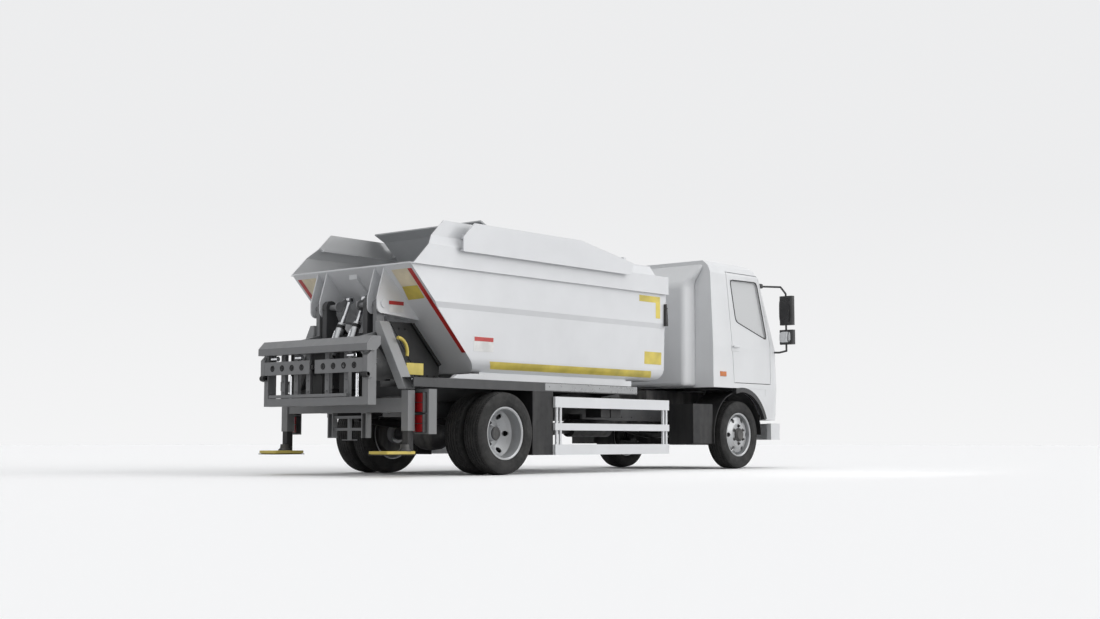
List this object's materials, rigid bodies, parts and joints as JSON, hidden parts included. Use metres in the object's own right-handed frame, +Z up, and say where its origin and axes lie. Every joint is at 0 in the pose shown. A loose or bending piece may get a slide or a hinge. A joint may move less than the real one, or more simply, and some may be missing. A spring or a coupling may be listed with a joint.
{
  "type": "garbage truck",
  "caption": "Light cab-over refuse truck with an open-topped tipping tub, a rear bin lift on slanting towers, stabiliser legs with yellow pads and a tilting cab.",
  "frame": {"origin": "middle of the truck's length and width, on the ground under the wheels", "axes": "+X forward, +Y to the truck's left, +Z up"},
  "size_m": [6.86, 2.44, 2.5149],
  "materials": {
    "white_panel": "satin",
    "chassis_grey": "satin",
    "lift_grey": "satin",
    "dark_metal": "matte",
    "cast_dark": "matte",
    "wheel_silver": "satin",
    "tyre": "matte",
    "rod_chrome": "polished",
    "ram_steel": "brushed",
    "dark_plastic": "matte",
    "tank_aluminium": "brushed",
    "yellow_paint": "satin",
    "lamp_red": "gloss",
    "lamp_clear": "gloss",
    "glass": "gloss",
    "seat_fabric": "matte"
  },
  "bodies": {
    "chassis": {"frame_rails": "chassis_grey", "subframe": "chassis_grey", "hinge_towers": "chassis_grey", "rear_beam": "dark_metal", "rear_lamps": "lamp_red", "rear_axle": "cast_dark", "front_axle": "cast_dark", "leaf_springs": "dark_metal", "engine_block": "cast_dark", "exhaust": "dark_metal", "fuel_tank": "tank_aluminium", "side_boxes": "dark_metal", "splash_panels": "dark_metal", "mudguards": "dark_metal", "side_guard_left": "white_panel", "side_guard_right": "white_panel", "bumper": "dark_plastic"},
    "knuckle_left": {"knuckle_left": "cast_dark"},
    "knuckle_right": {"knuckle_right": "cast_dark"},
    "tie_rod": {"tie_rod": "cast_dark"},
    "front_wheel_left": {"front_tyre_left": "tyre", "front_rim_left": "wheel_silver"},
    "front_wheel_right": {"front_tyre_right": "tyre", "front_rim_right": "wheel_silver"},
    "rear_wheels_left": {"rear_tyres_left": "tyre", "rear_rims_left": "wheel_silver"},
    "rear_wheels_right": {"rear_tyres_right": "tyre", "rear_rims_right": "wheel_silver"},
    "tub": {"tub_floor": "white_panel", "tub_rear_slope": "white_panel", "tub_front_wall": "white_panel", "tub_side_left": "white_panel", "tub_side_right": "white_panel"},
    "packer": {"packer_plate": "white_panel"},
    "lift": {"lift_arms": "lift_grey", "lift_frame": "lift_grey"},
    "lift_barrels": {"lift_barrels": "dark_metal"},
    "lift_rods": {"lift_rods": "rod_chrome"},
    "tip_barrel": {"tip_barrel": "dark_metal"},
    "tip_stage": {"tip_stage": "ram_steel"},
    "tip_rod": {"tip_rod": "rod_chrome"},
    "stabiliser_left": {"stabiliser_leg_left": "dark_metal", "stabiliser_pad_left": "yellow_paint"},
    "stabiliser_right": {"stabiliser_leg_right": "dark_metal", "stabiliser_pad_right": "yellow_paint"},
    "cab": {"cab_body": "white_panel", "cab_front": "white_panel", "cab_roof": "white_panel", "cab_floor": "chassis_grey", "cab_trim": "dark_plastic", "windscreen": "glass", "seats": "seat_fabric", "dashboard": "dark_plastic", "headlamps": "lamp_clear", "mirrors": "dark_plastic", "grille": "dark_plastic"},
    "door_left": {"door_left": "white_panel", "door_glass_left": "glass"},
    "door_right": {"door_right": "white_panel", "door_glass_right": "glass"}
  },
  "joints": [
    {"name": "rear_wheels_left_spin", "type": "hinge", "parent": "chassis", "child": "rear_wheels_left", "pos_m": [-1.83, 0.792, 0.4055], "axis": [0, 1, 0], "continuous": true},
    {"name": "rear_wheels_right_spin", "type": "hinge", "parent": "chassis", "child": "rear_wheels_right", "pos_m": [-1.83, -0.792, 0.4055], "axis": [0, 1, 0], "continuous": true},
    {"name": "steer_left", "type": "hinge", "parent": "chassis", "child": "knuckle_left", "pos_m": [2.403, 0.69, 0.4055], "axis": [0, 0, 1], "range_deg": [-32, 32]},
    {"name": "steer_right", "type": "hinge", "parent": "chassis", "child": "knuckle_right", "pos_m": [2.403, -0.69, 0.4055], "axis": [0, 0, 1], "range_deg": [-32, 32]},
    {"name": "front_wheel_left_spin", "type": "hinge", "parent": "knuckle_left", "child": "front_wheel_left", "pos_m": [2.403, 0.844, 0.4055], "axis": [0, 1, 0], "continuous": true},
    {"name": "front_wheel_right_spin", "type": "hinge", "parent": "knuckle_right", "child": "front_wheel_right", "pos_m": [2.403, -0.844, 0.4055], "axis": [0, 1, 0], "continuous": true},
    {"name": "tie_rod_swing", "type": "hinge", "parent": "knuckle_left", "child": "tie_rod", "pos_m": [2.213, 0.69, 0.298], "axis": [0, 0, 1], "range_deg": [-32, 32]},
    {"name": "tub_tip", "type": "hinge", "parent": "chassis", "child": "tub", "pos_m": [-2.96, 0, 1.63], "axis": [0, -1, 0], "range_deg": [0, 80]},
    {"name": "packer_slide", "type": "slide", "parent": "tub", "child": "packer", "axis": [1, 0, 0], "range_m": [0, 1.25]},
    {"name": "lift_swing", "type": "hinge", "parent": "chassis", "child": "lift", "pos_m": [-2.96, 0, 1.63], "axis": [0, -1, 0], "range_deg": [-120, 0]},
    {"name": "lift_barrel_swing", "type": "hinge", "parent": "chassis", "child": "lift_barrels", "pos_m": [-3.13, 0, 1.07], "axis": [0, -1, 0], "range_deg": [-1, 1]},
    {"name": "lift_rod_slide", "type": "slide", "parent": "lift_barrels", "child": "lift_rods", "axis": [0.3994, 0, 0.9168], "range_m": [-0.23, 0.001]},
    {"name": "tip_barrel_swing", "type": "hinge", "parent": "chassis", "child": "tip_barrel", "pos_m": [-2.43, 0, 0.66], "axis": [0, -1, 0], "range_deg": [0, 67]},
    {"name": "tip_stage_slide", "type": "slide", "parent": "tip_barrel", "child": "tip_stage", "axis": [0.9761, 0, 0.2174], "range_m": [0, 0.69]},
    {"name": "tip_rod_slide", "type": "slide", "parent": "tip_stage", "child": "tip_rod", "axis": [0.9761, 0, 0.2174], "range_m": [0, 0.69]},
    {"name": "stabiliser_left_slide", "type": "slide", "parent": "chassis", "child": "stabiliser_left", "axis": [0, 0, 1], "range_m": [-0.19, 0.1]},
    {"name": "stabiliser_right_slide", "type": "slide", "parent": "chassis", "child": "stabiliser_right", "axis": [0, 0, 1], "range_m": [-0.19, 0.1]},
    {"name": "cab_tilt", "type": "hinge", "parent": "chassis", "child": "cab", "pos_m": [3.255, 0, 0.715], "axis": [0, 1, 0], "range_deg": [0, 45]},
    {"name": "door_left_swing", "type": "hinge", "parent": "cab", "child": "door_left", "pos_m": [3.032, 0.996, 1.285], "axis": [0, 0, -1], "range_deg": [0, 70]},
    {"name": "door_right_swing", "type": "hinge", "parent": "cab", "child": "door_right", "pos_m": [3.032, -0.996, 1.285], "axis": [0, 0, 1], "range_deg": [0, 70]}
  ],
  "couplings": [
    {"joint": "steer_right", "follows": "steer_left", "ratio": 1},
    {"joint": "tie_rod_swing", "follows": "steer_left", "ratio": -1},
    {"joint": "lift_barrel_swing", "follows": "lift_swing", "ratio": -0.0059},
    {"joint": "lift_rod_slide", "follows": "lift_swing", "m_per_rad": 0.1077},
    {"joint": "tip_barrel_swing", "follows": "tub_tip", "ratio": 0.8331},
    {"joint": "tip_stage_slide", "follows": "tub_tip", "m_per_rad": 0.4894},
    {"joint": "tip_rod_slide", "follows": "tub_tip", "m_per_rad": 0.4894}
  ]
}
